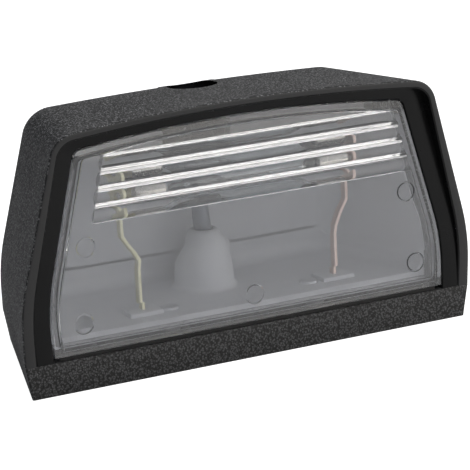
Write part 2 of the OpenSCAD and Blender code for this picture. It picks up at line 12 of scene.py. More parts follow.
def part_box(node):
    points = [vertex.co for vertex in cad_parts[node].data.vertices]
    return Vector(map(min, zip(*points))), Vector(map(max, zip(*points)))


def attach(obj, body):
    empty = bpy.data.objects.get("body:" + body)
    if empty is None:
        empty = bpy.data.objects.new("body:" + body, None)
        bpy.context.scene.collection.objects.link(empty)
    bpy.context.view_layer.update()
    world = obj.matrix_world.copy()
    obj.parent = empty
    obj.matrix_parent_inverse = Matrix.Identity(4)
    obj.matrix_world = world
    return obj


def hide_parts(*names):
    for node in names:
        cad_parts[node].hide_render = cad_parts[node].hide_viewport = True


bl_info = {
    "name": "Number plate lamp",
    "version": (1, 0, 0),
    "blender": (4, 5, 0),
    "location": "3D View > Sidebar > Plate lamp",
    "description": "Builds the dressed pieces of a number plate lamp and its studio",
    "category": "Object",
}

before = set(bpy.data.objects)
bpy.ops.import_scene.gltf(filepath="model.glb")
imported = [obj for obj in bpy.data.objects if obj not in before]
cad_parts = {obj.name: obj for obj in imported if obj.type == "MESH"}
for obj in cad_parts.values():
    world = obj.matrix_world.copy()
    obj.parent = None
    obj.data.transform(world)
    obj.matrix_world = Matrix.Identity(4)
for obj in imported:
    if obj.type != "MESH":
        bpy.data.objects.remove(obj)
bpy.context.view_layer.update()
MM = 0.001

# Forms of the lamp in millimetres, as the CAD model has them. Depths are behind the base's front.
BASE_H = 5.5
BASE_D = 35.2
HOOD_H = 36.8
RIDGE_DROP = 0.4
RIDGE_D = 22.8
RIM_LEAN = 1.5
WALL = 1.8
# Half width at the foot, then half width and height of the knee and of the corner, rise of the arch, corner radius
RIM_SIZES = np.array([41.0, 41.3, 9.0, 34.1, HOOD_H, 1.8, 4.6])
BACK_SIZES = np.array([31.0, 32.2, 9.0, 29.0, HOOD_H - RIDGE_DROP, 0.72, 4.6])
LENS_TILT = radians(1.7)
LENS_SIN, LENS_COS = sin(LENS_TILT), cos(LENS_TILT)
LENS_PROUD = 0.37
LENS_FOOT = 0.7
LENS_TOP_IN = 3.3
BORDER = 1.3
SKIRT_IN = 1.4
GAP = 0.25
# Depths behind the lens face: the hood's flange and the lens's own
HOOD_FLANGE = (0.5, 2.2)
LENS_FLANGE = (3.0, 4.4)
SCREW_DEPTH = 19.7
SEAT_Z = BASE_H + HOOD_H - 4.7
WASHER_T = 1.0
WELL_R = 4.3
BOSS_WALL = 1.5
SHANK_HOLE_R = 1.8
STEM_BOSS_R = 2.9
COLLAR_RUN = 8.6
COLLAR_FALL = tan(radians(16))
BULB_AT = (2.0, 10.5, 30.2)
TRAY_SIDE = 3.6
TRAY_BACK = 4.389
TRAY_FRONT = 5.3
TRAY_T = 1.3
TRAY_Z = 8.0
TRAY_TOP = BASE_H + HOOD_H - 6.3
TRAY_SCREW = (24, BASE_D / 2 + 8.4)
DOME_TOP = 18.2
BOSS_END_Z = DOME_TOP + 4.5
BLOCK = (6.0, 4.5, 0.8)
STEM_X = 18.2
RIVET_IN = 4.95
MOUNT_PITCH = 54
# Half width of a tool that reaches past the whole lamp
WIDE = 60


# ---- outlines


def inset(sizes, foot, corner=None, top=None):
    """Sizes of an outline inside another one, by its foot, its corners and its top, or alike all round."""
    corner, top = (foot if part is None else part for part in (corner, top))
    foot_x, knee_x, knee_h, corner_x, corner_h, arch, radius = sizes
    lean = (knee_x - corner_x) / (corner_h - knee_h)
    return np.array([foot_x - foot, knee_x - foot, knee_h, corner_x + lean * top - corner, corner_h - top, arch,
                     max(radius - top, 0.8)])


def bend(a, b, c, u):
    """Point at u on the curve from a to c that b pulls."""
    return (a * (1 - u) + b * u) * (1 - u) + (b * (1 - u) + c * u) * u


def unit(v):
    return v / np.linalg.norm(v)


def rounding(radius, steps):
    """Pairs round a rounded edge: across falls from the radius to 0, and along rises from 0 to it."""
    turns = [radians(90 * i / steps) for i in range(steps + 1)]
    return [(radius * (1 - sin(a)), radius * (1 - cos(a))) for a in turns]


def outline(sizes, foot_h):
    """Points (x, height) from the right foot over the knee, the corner and the arched top to the left foot."""
    knee_steps, corner_steps, arch_steps = 6, 10, 12
    foot_x, _, knee_h, corner_x, corner_h, arch, radius = sizes
    foot, knee, corner = np.array([foot_x, foot_h]), sizes[1:3], sizes[3:5]
    soft = min(5.0, 0.6 * (knee_h - max(foot_h, 0)))
    down, inward = unit(knee - corner), unit(np.array([-corner_x, 2 * arch]))
    half = acos(float(down @ inward)) / 2
    centre = corner + unit(down + inward) * radius / sin(half)
    first = corner + down * radius / tan(half) - centre
    last = corner + inward * radius / tan(half) - centre
    a, b = atan2(first[1], first[0]), atan2(last[1], last[0])
    start = centre + last
    lift = start[1] - (corner_h + arch * (1 - (start[0] / corner_x) ** 2))
    points = [foot]
    points += [bend(knee + unit(foot - knee) * soft, knee, knee - down * soft, i / knee_steps)
               for i in range(knee_steps + 1)]
    turns = [a + (b - a) * i / corner_steps for i in range(corner_steps + 1)]
    points += [centre + radius * np.array([cos(turn), sin(turn)]) for turn in turns]
    for i in range(1, arch_steps + 1):
        x = start[0] * (1 - i / arch_steps)
        points.append(np.array([x, corner_h + arch * (1 - (x / corner_x) ** 2) + lift * (x / start[0]) ** 2]))
    points += [np.array([-p[0], p[1]]) for p in reversed(points[:-1])]
    return np.array(points)


def back_depth(height):
    """Depth of the hood's leaning back at a height above the base."""
    return BASE_D - (BASE_D - RIDGE_D) * height / (HOOD_H - RIDGE_DROP)


def skin_ring(u, inward, shift, foot_h=0, foot_r=0):
    """One ring of the hood: u goes from the rim to the back, inward is the distance inside the skin, and foot_r
    rounds the foot's corners, as in a tray."""
    sizes = inset(RIM_SIZES + (BACK_SIZES - RIM_SIZES) * (u + shift / BASE_D), inward)
    flat = outline(sizes, foot_h)
    if foot_r:
        turns = [radians(-90 + 15 * i) for i in range(7)]
        foot = np.array([(sizes[0] + foot_r * (cos(a) - 1), foot_h + foot_r * (1 + sin(a))) for a in turns])
        flat = np.concatenate([foot, flat[1:-1], foot[::-1] * [-1, 1]])
    rim, back = -RIM_LEAN * flat[:, 1] / HOOD_H, back_depth(flat[:, 1])
    return np.column_stack([flat[:, 0], rim + (back - rim) * u + shift, BASE_H + flat[:, 1]])


def in_lens_plane(x, v, w):
    """Points at width x, height v and depth w of the lens plane, as depths and heights of the lamp."""
    return np.column_stack([x, -LENS_PROUD + v * LENS_SIN + w * LENS_COS, BASE_H + v * LENS_COS - w * LENS_SIN])


def lens_ring(sizes, depth, foot_h=None):
    """One ring in the lens plane, at a depth behind the lens face. Its foot stands on the base if none is given."""
    flat = outline(sizes, depth * tan(LENS_TILT) if foot_h is None else foot_h)
    return in_lens_plane(flat[:, 0], flat[:, 1], np.full(len(flat), float(depth)))


def lens_depth(points):
    """Depth behind the lens face of points of the lamp."""
    return (points[:, 1] + LENS_PROUD) * LENS_COS - (points[:, 2] - BASE_H) * LENS_SIN


LENS_SIZES = inset(RIM_SIZES, 5.3, 5.3, LENS_TOP_IN)
RECESS_SIZES = inset(RIM_SIZES, 2.2, 1.3, 1.3)
OPENING_SIZES = inset(LENS_SIZES, -GAP)
LENS_FLANGE_SIZES = inset(LENS_SIZES, -1.5, -1.5, WALL + 2 * GAP - LENS_TOP_IN)
SKIRT_SIZES = inset(LENS_SIZES, SKIRT_IN)


# ---- meshes


def new_object(name, data):
    """An object of a mesh, a lamp or a camera, put in the scene."""
    made = bpy.data.objects.new(name, data)
    bpy.context.scene.collection.objects.link(made)
    return made


def merged(mesh, distance=1e-7, flat=None):
    """Merges a mesh's doubles, then turns its faces outwards, or joins those that lie within a flat angle."""
    work = bmesh.new()
    work.from_mesh(mesh)
    bmesh.ops.remove_doubles(work, verts=work.verts, dist=distance)
    if flat is None:
        bmesh.ops.recalc_face_normals(work, faces=work.faces)
    else:
        bmesh.ops.dissolve_limit(work, angle_limit=flat, verts=work.verts, edges=work.edges)
    work.to_mesh(mesh)
    work.free()


def mesh_object(name, points, faces, from_front=True, slots=None):
    """Object of a closed form in millimetres, with its faces turned outwards. Slots give each face's material."""
    mesh = bpy.data.meshes.new(name)
    moved = np.asarray(points, float) - ([0, BASE_D / 2, 0] if from_front else [0, 0, 0])
    mesh.from_pydata((moved * MM).tolist(), [], [list(map(int, face)) for face in faces])
    if slots is not None:
        mesh.polygons.foreach_set("material_index", slots)
    merged(mesh)
    return new_object(name, mesh)


def strips(rows, closed=True):
    """Faces between rows of point numbers."""
    faces = []
    for a, b in zip(rows, rows[1:]):
        count = len(a) if closed else len(a) - 1
        faces += [(a[i], a[(i + 1) % len(a)], b[(i + 1) % len(b)], b[i]) for i in range(count)]
    return faces


def fill_across(row):
    """Faces that fill an outline by joining the points of its right half to those of its left half."""
    n, middle = len(row), len(row) // 2
    return [(row[i], row[i + 1], row[n - 2 - i], row[n - 1 - i]) if i + 1 < middle
            else (row[i], row[middle], row[n - 1 - i]) for i in range(middle)]


def numbered(rings):
    """Rows of point numbers for rings whose points are kept one ring after the other."""
    n = len(rings[0])
    return [list(range(i * n, (i + 1) * n)) for i in range(len(rings))]


def lofted(name, rings):
    """Object of closed outlines in a row, filled at both ends."""
    rows = numbered(rings)
    return mesh_object(name, np.concatenate(rings), strips(rows) + fill_across(rows[0]) + fill_across(rows[-1]))


def prism(rings):
    """Points and faces of a plain form of closed rings in a row, with one face at each end."""
    rows = numbered(rings)
    return [point for ring in rings for point in ring], [rows[0], rows[-1]] + strips(rows)


def rectangle(x, y, half_x, half_y, z):
    """Four points round a level rectangle."""
    return [(x + sx * half_x, y + sy * half_y, z) for sx, sy in ((-1, -1), (1, -1), (1, 1), (-1, 1))]


def upright(x0=0, y0=0, z0=0):
    """Places a turned form upright, with its foot at a point."""
    return lambda x, y, z: (x0 + x, y0 + y, z0 + z)


AT_SCREW = upright(0, SCREW_DEPTH)


def lathe(profile, place, segments=48):
    """Points and faces of a turned form: profile holds (radius, height), and place puts a point in the lamp."""
    points, rows = [], []
    for radius, height in profile:
        if radius < 1e-6:
            points.append(place(0, 0, height))
            rows.append([len(points) - 1] * segments)
            continue
        rows.append(list(range(len(points), len(points) + segments)))
        for i in range(segments):
            turn = 2 * pi * i / segments
            points.append(place(radius * cos(turn), radius * sin(turn), height))
    faces = []
    for face in strips(rows):
        kept = [p for i, p in enumerate(face) if p != face[i - 1]]
        if len(kept) > 2:
            faces.append(kept)
    return points, faces


def turned(name, profile, place=upright(), segments=48, from_front=True):
    """Object of a turned form. A profile that starts off the axis is closed on itself, as a sleeve is."""
    if profile[0][0] > 1e-6:
        profile = list(profile) + [profile[0]]
    return mesh_object(name, *lathe(profile, place, segments), from_front)


def together(forms):
    """Points and faces of several forms that don't touch, as one."""
    points, faces = [], []
    for form_points, form_faces in forms:
        faces += [[i + len(points) for i in face] for face in form_faces]
        points += list(form_points)
    return points, faces


def thread_ridge(radius, reach, pitch, length, at):
    """Points and faces of a screw thread's ridge, from radius to reach, that starts at a point and goes up."""
    steps, half_width = 28, 0.42
    rings, count = [], int(length / pitch * steps)
    for i in range(count + 1):
        turn, height = 2 * pi * i / steps, pitch * i / steps
        tip = radius + (reach - radius) * min(1.0, i / steps, (count - i) / steps)
        rings.append([(at[0] + r * cos(turn), at[1] + r * sin(turn), at[2] + height + side * pitch)
                      for r, side in ((radius, -half_width), (tip, 0), (radius, half_width))])
    return prism(rings)


def baked(obj, drop=()):
    """The object with its modifiers turned into a plain mesh. Helper objects are dropped."""
    bpy.context.view_layer.update()
    mesh = bpy.data.meshes.new_from_object(obj.evaluated_get(bpy.context.evaluated_depsgraph_get()))
    obj.modifiers.clear()
    obj.data = mesh
    mesh.name = obj.name
    for helper in drop:
        bpy.data.objects.remove(helper, do_unlink=True)
    return obj


def joined_with(obj, tool, operation):
    """Unites the object with a tool, which may be given by its points and faces, or cuts the tool out of it."""
    if isinstance(tool, tuple):
        tool = mesh_object("tool", *tool)
    step = obj.modifiers.new(operation.title(), "BOOLEAN")
    step.operation, step.solver, step.object = operation, "EXACT", tool
    return baked(obj, [tool])


def carrying(obj, ridge):
    """The object with a thread's ridge laid on it."""
    with bpy.context.temp_override(active_object=obj, selected_editable_objects=[obj, ridge],
                                   selected_objects=[obj, ridge]):
        bpy.ops.object.join()
    return obj


def cad_copy(name, node, edge):
    """A CAD piece as one joined mesh, with its edges rounded as a mould or a press leaves them."""
    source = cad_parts[node].data
    mesh = bpy.data.meshes.new(name)
    mesh.from_pydata([v.co[:] for v in source.vertices], [], [p.vertices[:] for p in source.polygons])
    merged(mesh, 2e-6, radians(1))
    made = new_object(name, mesh)
    round_off = made.modifiers.new("Edges", "BEVEL")
    round_off.width, round_off.segments = edge * MM, 2
    round_off.limit_method, round_off.angle_limit = "ANGLE", radians(35)
    round_off.use_clamp_overlap = True
    return baked(made)


def finish(obj, material, node, angle=30):
    """Shades a piece smooth, with sharp edges above an angle, gives it its material, unless it has its own, hangs it
    under the root and hides the CAD node that it stands for."""
    obj.data.shade_smooth()
    obj.data.set_sharp_from_angle(angle=radians(angle))
    if material:
        obj.data.materials.clear()
        obj.data.materials.append(material)
        obj.data.polygons.foreach_set("material_index", [0] * len(obj.data.polygons))
    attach(obj, "root")
    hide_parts(node)


# ---- nodes and materials


def connect(tree, node, inputs):
    """Gives a node's inputs a value each, or a link to a socket or to the first live output of another node."""
    for name, value in inputs.items():
        if isinstance(value, bpy.types.Node):
            value = next(output for output in value.outputs if output.enabled)
        if isinstance(value, bpy.types.NodeSocket):
            tree.links.new(value, node.inputs[name])
        else:
            node.inputs[name].default_value = value


def add(tree, kind, inputs=None, **settings):
    """Adds a node with its inputs and its settings. A kind without Node in it is a shader node."""
    made = tree.nodes.new(kind if "Node" in kind else "ShaderNode" + kind)
    for name, value in settings.items():
        setattr(made, name, value)
    connect(tree, made, inputs or {})
    return made


def linear(colour):
    """An sRGB hex colour as linear red, green, blue and alpha."""
    parts = [int(colour[i:i + 2], 16) / 255 for i in (1, 3, 5)]
    return tuple(p / 12.92 if p <= 0.04045 else ((p + 0.055) / 1.055) ** 2.4 for p in parts) + (1.0,)


WHITE = linear("#ffffff")


def new_material(name, values):
    """A material with one main shader. Returns it with its tree, its shader and its object coordinates."""
    made = bpy.data.materials.new(name)
    made.use_nodes = True
    tree = made.node_tree
    tree.nodes.clear()
    shader = add(tree, "BsdfPrincipled", values)
    add(tree, "OutputMaterial", {"Surface": shader})
    return made, tree, shader, add(tree, "TexCoord").outputs["Object"]


def per_mm(size):
    """Texture scale at which one cell or wave measures size millimetres."""
    return 1 / (size * MM)


def worked(tree, shader, bump, rough=None, shade=None, spread=(0.0, 1.0), **settings):
    """Lets patterns set a shader's finish. Bump holds a pattern, its strength and its depth in millimetres, rough a
    pattern and the two roughnesses that it runs between over its spread, and shade a pattern and two colours."""
    inputs = {"Normal": add(tree, "Bump", {
        "Height": bump[0], "Strength": bump[1], "Distance": bump[2] * MM}, **settings)}
    if rough:
        inputs["Roughness"] = add(tree, "MapRange", {
            "Value": rough[0], "From Min": spread[0], "From Max": spread[1], "To Min": rough[1], "To Max": rough[2]})
    if shade:
        inputs["Base Color"] = add(tree, "Mix", {
            "Factor": shade[0], "A": linear(shade[1]), "B": linear(shade[2])}, data_type="RGBA")
    connect(tree, shader, inputs)


def grained_plastic(name, grain, highlit_tops, pits, dust, rough, depth, specular, rim=None):
    """Black ABS from an etched mould: soft cells of grain millimetres, black between them, with a painted highlight as
    sparkle on their raised middles and with the grey bloom that handling leaves. The highlight's stop (highlit_tops)
    and the pits each hold a height and its colour. With a rim colour, what faces the front is plain and smooth."""
    made, tree, shader, place = new_material(name, {"IOR": 1.53, "Specular IOR Level": specular})
    wander, fine, bloom = (add(tree, "TexNoise", {
        "Vector": place, "Scale": per_mm(cell), "Detail": detail, "Roughness": roughness})
        for cell, detail, roughness in ((grain * 2.5, 2.0, 0.5), (grain * 0.45, 3.0, 0.6), (14, 4.0, 0.5)))
    warped = add(tree, "MixRGB", {
        "Fac": grain * MM * 0.35, "Color1": place, "Color2": wander.outputs["Color"]}, blend_type="LINEAR_LIGHT")
    cells = add(tree, "TexVoronoi", {
        "Vector": warped, "Scale": per_mm(grain), "Smoothness": 0.5}, feature="SMOOTH_F1")
    height = add(tree, "Mix", {"Factor": 0.45, "A": cells, "B": fine}, data_type="FLOAT")
    # The ramp paints a highlight, the grain's sparkle, on the raised middles of the cells; its dark stop is the
    # plastic's own black
    shade = add(tree, "ValToRGB", {"Fac": height})
    for stop, (position, colour) in zip(shade.color_ramp.elements, (highlit_tops, pits)):
        stop.position, stop.color = position, colour
    strength = 0.9
    if rim:
        facing = add(tree, "SeparateXYZ", {
            "Vector": add(tree, "NewGeometry").outputs["True Normal"]})
        skin = add(tree, "MapRange", {
            "Value": facing.outputs["Y"], "From Min": -0.93, "From Max": -0.6}, interpolation_type="SMOOTHSTEP")
        shade = add(tree, "Mix", {"Factor": skin, "A": rim, "B": shade}, data_type="RGBA")
        strength = add(tree, "Math", {0: skin, 1: strength}, operation="MULTIPLY")
    dusty = add(tree, "MixRGB", {"Fac": dust, "Color1": shade, "Color2": bloom}, blend_type="ADD")
    connect(tree, shader, {"Base Color": dusty})
    worked(tree, shader, (height, strength, depth), (bloom, *rough), spread=(0.3, 0.7), invert=True)
    return made


def hood_plastic(colours):
    """Black ABS of the hood, with a painted highlight as sparkle on its grain, and a smooth rim."""
    return grained_plastic("Moulded black ABS, etched grain", 0.4, (0.27, linear("#949496")), (0.47, linear("#0a0a0a")),
                           dust=0.012, rough=(0.48, 0.6), depth=0.3, specular=0.3, rim=tuple(colours.hood))


def base_plastic(colours):
    """Black ABS of the base, with a leathery grain all over whose raised middles carry a painted highlight as sparkle.
    """
    return grained_plastic("Moulded black ABS, leathery grain", 0.36, (0.28, tuple(colours.base)),
                           (0.55, linear("#080808")), dust=0.006, rough=(0.45, 0.6), depth=0.2, specular=0.35)


def polished_shade_plastic():
    """Black ABS of the recess round the lens and of the screw's well, from a polished mould, so only its gloss is seen.
    Its near-black base, darker than the rim's, is painted shade of the recess and the well.
    """
    made, tree, shader, place = new_material("Moulded black ABS, polished", {
        "Base Color": linear("#0a0a0b"), "IOR": 1.53, "Specular IOR Level": 0.22})
    flow = add(tree, "TexNoise", {"Vector": place, "Scale": per_mm(5), "Detail": 4.0})
    worked(tree, shader, (flow, 0.15, 0.05), (flow, 0.14, 0.34))
    return made


def lens_acrylic():
    """Injection-moulded PMMA: clear and polished, with the melt's faint waves and a thin milky haze, which lays
    a pale veil over what lies behind it."""
    made, tree, shader, place = new_material("Moulded clear PMMA", {
        "Base Color": linear("#f7f8fb"), "Roughness": 0.02, "IOR": 1.49, "Transmission Weight": 0.93})
    waves = add(tree, "TexNoise", {"Vector": place, "Scale": per_mm(7), "Detail": 1.0})
    worked(tree, shader, (waves, 0.06, 0.2))
    return made


def tray_plastic():
    """Light grey ABS with a satin mould finish, a little duller where the melt met. Its walls have sunk a little
    unevenly as they cooled."""
    made, tree, shader, place = new_material("Moulded grey ABS, satin", {"IOR": 1.53})
    cloud = add(tree, "TexNoise", {"Vector": place, "Scale": per_mm(9), "Detail": 4.0})
    sunk = add(tree, "TexNoise", {"Vector": place, "Scale": per_mm(6), "Detail": 2.0})
    worked(tree, shader, (sunk, 0.5, 0.5), (cloud, 0.34, 0.5), (cloud, "#dcdde0", "#e8e9eb"))
    return made


def rubber():
    """Moulded EPDM rubber: matt, almost black, a little lighter on the raised bits of its fine relief and darker in the
    sunk ones.
    """
    made, tree, shader, place = new_material("Moulded EPDM rubber", {"IOR": 1.52})
    pores = add(tree, "TexNoise", {"Vector": place, "Scale": per_mm(0.4), "Detail": 4.0})
    worked(tree, shader, (pores, 0.4, 0.03), (pores, 0.7, 0.9), (pores, "#161617", "#2a2a2b"))
    return made


def metal(name, light, dark, rough, cell, stretch=(1, 1, 1)):
    """A metal whose tarnish wanders between two colours, with the fine marks of its working stretched along it."""
    made, tree, shader, place = new_material(name, {"Metallic": 1.0})
    along = add(tree, "Mapping", {"Vector": place, "Scale": stretch})
    cloud = add(tree, "TexNoise", {"Vector": place, "Scale": per_mm(cell * 8), "Detail": 4.0})
    marks = add(tree, "TexNoise", {"Vector": along, "Scale": per_mm(cell), "Detail": 3.0})
    worked(tree, shader, (marks, 0.15, 0.02), (marks, *rough), (cloud, light, dark), spread=(0.3, 0.7))
    return made


def bulb_glass():
    """Drawn soda-lime tube, clear, with faint draw lines along it."""
    made, tree, shader, place = new_material("Drawn soda-lime glass", {
        "Base Color": linear("#f6fafb"), "Roughness": 0.0, "IOR": 1.52, "Transmission Weight": 1.0})
    along = add(tree, "Mapping", {"Vector": place, "Scale": (0.1, 1, 1)})
    lines = add(tree, "TexNoise", {"Vector": along, "Scale": per_mm(1.2)})
    worked(tree, shader, (lines, 0.05, 0.05))
    return made


# ---- geometry nodes


def geometry_tree(name, inputs):
    """A geometry tree with named inputs and a finish. Returns it with its input node."""
    tree = bpy.data.node_groups.new(name, "GeometryNodeTree")
    for label, kind in {"Geometry": "Geometry", **inputs, "Finish": "Material"}.items():
        tree.interface.new_socket(label, in_out="INPUT", socket_type="NodeSocket" + kind)
    tree.interface.new_socket("Geometry", in_out="OUTPUT", socket_type="NodeSocketGeometry")
    return tree, add(tree, "NodeGroupInput").outputs


def end_tree(tree, given, geometry):
    """Ends a geometry tree with real copies and their finish."""
    real = add(tree, "GeometryNodeRealizeInstances", {"Geometry": geometry})
    dressed = add(tree, "GeometryNodeSetMaterial", {"Geometry": real, "Material": given["Finish"]})
    add(tree, "NodeGroupOutput", {"Geometry": dressed})


def grown(name, tree, values, drop=()):
    """A plain mesh object that a geometry tree makes from named values."""
    made = new_object(name, bpy.data.meshes.new(name))
    step = made.modifiers.new("Shape", "NODES")
    step.node_group = tree
    for item in tree.interface.items_tree:
        if item.item_type == "SOCKET" and item.in_out == "INPUT" and item.name in values:
            step[item.identifier] = values[item.name]
    return baked(made, drop)


def row_of(name, template, start, offset, count, material):
    """Copies of a template at equal steps along a line."""
    tree, given = geometry_tree(name + " row", {
        "Template": "Object", "Start": "Vector", "Step": "Vector", "Count": "Int"})
    line = add(tree, "GeometryNodeMeshLine", {
        "Count": given["Count"], "Start Location": given["Start"], "Offset": given["Step"]}, mode="OFFSET")
    shape = add(tree, "GeometryNodeObjectInfo", {"Object": given["Template"]})
    end_tree(tree, given, add(tree, "GeometryNodeInstanceOnPoints", {
        "Points": line, "Instance": shape.outputs["Geometry"]}))
    return grown(name, tree, {"Template": template, "Start": [c * MM for c in start], "Step": [c * MM for c in offset],
                              "Count": count, "Finish": material}, [template])


# How a point of the flutes' block finds its place: each line names a value, its operation and what goes into it.
# A bar has 24 rows of points, and its section is part of a circle, whose radius follows from its bulge over half
# a pitch. The block's foot lies 0.3 mm inside the clear face.
FLUTE_STEPS = """
rows MULTIPLY_ADD Count 24 1
height MULTIPLY Count Pitch
up MULTIPLY_ADD height 0.5 Y
share DIVIDE up height
half MULTIPLY Pitch 0.5
in_bar PINGPONG up half
off SUBTRACT half in_bar
above GREATER_THAN up Pitch
bulge MIX above Lowest Depth
half_2 POWER half 2
bulge_2 POWER bulge 2
both ADD half_2 bulge_2
twice MULTIPLY bulge 2
radius DIVIDE both twice
radius_2 POWER radius 2
off_2 POWER off 2
chord SUBTRACT radius_2 off_2
rise SQRT chord
sunk SUBTRACT radius bulge
crest SUBTRACT rise sunk
lifted MAXIMUM crest 0
on_top GREATER_THAN Z 0
deep MIX on_top -0.0003 lifted
end MIX share Wide Narrow
side SIGN X
to_x MULTIPLY_ADD side end Sideways
to_y ADD up Low
to_z ADD deep Root
"""


def pair_in(node, name, template, radius, material):
    """Two copies of a turned template, at the ends of a CAD node's box."""
    low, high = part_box(node)
    start = (low.x / MM + radius, (low.y + high.y) / 2 / MM, 0)
    return row_of(name, template, start, ((high.x - low.x) / MM - 2 * radius, 0, 0), 2, material)


def flute_block(sizes, material):
    """Half-round bars side by side in the lens plane, whose ends lean with the lens. X is the width, Y the
    height and Z the depth of the block, in metres, before it is put in the lens plane."""
    tree, given = geometry_tree("Flutes", {"Count": "Int", **dict.fromkeys((
        "Pitch", "Depth", "Lowest", "Low", "Root", "Wide", "Narrow", "Sideways"), "Float")})
    here = add(tree, "SeparateXYZ", {"Vector": add(tree, "GeometryNodeInputPosition")})
    known = {**dict(given.items()), **dict(here.outputs.items())}
    for step in FLUTE_STEPS.strip().splitlines():
        name, operation, *parts = step.split()
        parts = [known[part] if part in known else float(part) for part in parts]
        if operation == "MIX":
            known[name] = add(tree, "Mix", dict(zip(("Factor", "A", "B"), parts)), data_type="FLOAT")
        else:
            known[name] = add(tree, "Math", dict(enumerate(parts)), operation=operation)
    size = add(tree, "CombineXYZ", {"X": 2.0, "Y": known["height"], "Z": 2.0})
    block = add(tree, "GeometryNodeMeshCube", {
        "Size": size, "Vertices X": 2, "Vertices Y": known["rows"], "Vertices Z": 2})
    there = add(tree, "CombineXYZ", {axis: known["to_" + axis.lower()] for axis in "XYZ"})
    end_tree(tree, given, add(tree, "GeometryNodeSetPosition", {"Geometry": block, "Position": there}))
    corner_x, clear_top = LENS_SIZES[3], HOOD_H - LENS_TOP_IN - 1.2
    made = grown("flutes", tree, {
        "Count": sizes.flutes, "Pitch": sizes.flute_pitch, "Depth": sizes.flute_depth, "Lowest": sizes.lowest_flute,
        "Low": clear_top * MM - sizes.flutes * sizes.flute_pitch, "Root": sizes.face_thickness,
        "Wide": (corner_x + 0.3) * MM, "Narrow": (corner_x - 2.5) * MM, "Sideways": 2.8 * MM, "Finish": material})
    flat = np.array([v.co[:] for v in made.data.vertices]) / MM
    placed = in_lens_plane(flat[:, 0], flat[:, 1], flat[:, 2]) - [0, BASE_D / 2, 0]
    made.data.vertices.foreach_set("co", (placed * MM).ravel())
    merged(made.data)
    return made


def coil(name, radius, wire, length, turns, lead, material):
    """A coiled wire along X with a straight wire to each side."""
    tree, given = geometry_tree(name + " coil", dict.fromkeys((
        "Radius", "Wire", "Length", "Turns", "Lead"), "Float"))
    spring = add(tree, "GeometryNodeCurveSpiral", {
        "Resolution": 14, "Rotations": given["Turns"], "Start Radius": given["Radius"],
        "End Radius": given["Radius"], "Height": given["Length"]})
    leads, middle = [], None
    for side in (-1.0, 1.0):
        near = add(tree, "Math", {0: given["Length"], 1: 0.5 * side}, operation="MULTIPLY")
        far = add(tree, "Math", {0: given["Lead"], 1: side}, operation="MULTIPLY")
        middle = middle or add(tree, "CombineXYZ", {"Z": near})
        ends = [add(tree, "CombineXYZ", {"X": given["Radius"], "Z": along}) for along in (near, far)]
        leads.append(add(tree, "GeometryNodeCurvePrimitiveLine", {"Start": ends[0], "End": ends[1]}))
    wires = add(tree, "GeometryNodeJoinGeometry")
    for source in (add(tree, "GeometryNodeTransform", {"Geometry": spring, "Translation": middle}), *leads):
        connect(tree, wires, {"Geometry": source})
    section = add(tree, "GeometryNodeCurvePrimitiveCircle", {"Resolution": 6, "Radius": given["Wire"]})
    drawn = add(tree, "GeometryNodeCurveToMesh", {"Curve": wires, "Profile Curve": section, "Fill Caps": True})
    end_tree(tree, given, add(tree, "GeometryNodeTransform", {
        "Geometry": drawn, "Rotation": (0.0, pi / 2, 0.0),
        "Translation": [c * MM for c in (BULB_AT[0], BULB_AT[1] - BASE_D / 2, BULB_AT[2])]}))
    return grown(name, tree, {"Radius": radius * MM, "Wire": wire * MM, "Length": length * MM,
                              "Turns": float(turns), "Lead": lead * MM, "Finish": material})


# ---- settings


class LampColours(bpy.types.PropertyGroup):
    """Main colours of the lamp."""
    hood: FloatVectorProperty(name="Hood", description="Colour of the hood's smooth rim", subtype="COLOR",
                              size=4, default=linear("#2a2a2b"))
    # The base's colour is a painted highlight: the sparkle on the raised middles of its grain
    base: FloatVectorProperty(name="Base", description="Colour of the tops of the base's grain", subtype="COLOR",
                              size=4, default=linear("#525254"))


def size_setting(name, description, millimetres):
    """A size setting, which is kept in metres."""
    return FloatProperty(name=name, description=description, unit="LENGTH", default=millimetres * MM, precision=5)


class LampSizes(bpy.types.PropertyGroup):
    """Sizes of the dressed pieces that a user would change."""
    rim_edge: size_setting("Rim edge", "Radius of the rim's outer edge", 0.4)
    ridge_edge: size_setting("Ridge edge", "Radius of the edges round the back", 0.8)
    flutes: IntProperty(name="Flutes", description="Number of bars on the inside of the lens", default=4, min=1)
    flute_pitch: size_setting("Flute pitch", "Height of one bar", 2.75)
    flute_depth: size_setting("Flute depth", "How far a bar stands out", 1.25)
    lowest_flute: size_setting("Lowest flute", "How far the lowest bar stands out", 0.7)
    face_thickness: size_setting("Face thickness", "Thickness of the clear face", 2.0)
    turns: IntProperty(name="Filament turns", description="Turns of the bulb's coiled wire", default=34, min=4)


def angle_setting(name, description, degrees):
    """An angle setting."""
    return FloatProperty(name=name, description=description, subtype="ANGLE", default=radians(degrees))


class LampStage(bpy.types.PropertyGroup):
    """The studio round the lamp."""
    azimuth: angle_setting("Azimuth", "How far the camera stands to the left of the front", 25.75)
    elevation: angle_setting("Elevation", "How far the camera looks down", 14.87)
    roll: angle_setting("Roll", "Turn of the camera about its own axis", 2.97)
    focal: FloatProperty(name="Focal length", description="In millimetres, on a 36 mm sensor", default=200.3)
    daylight: FloatProperty(name="Tent light", description="Strength of the white tent all round", default=0.75)


# ---- operators


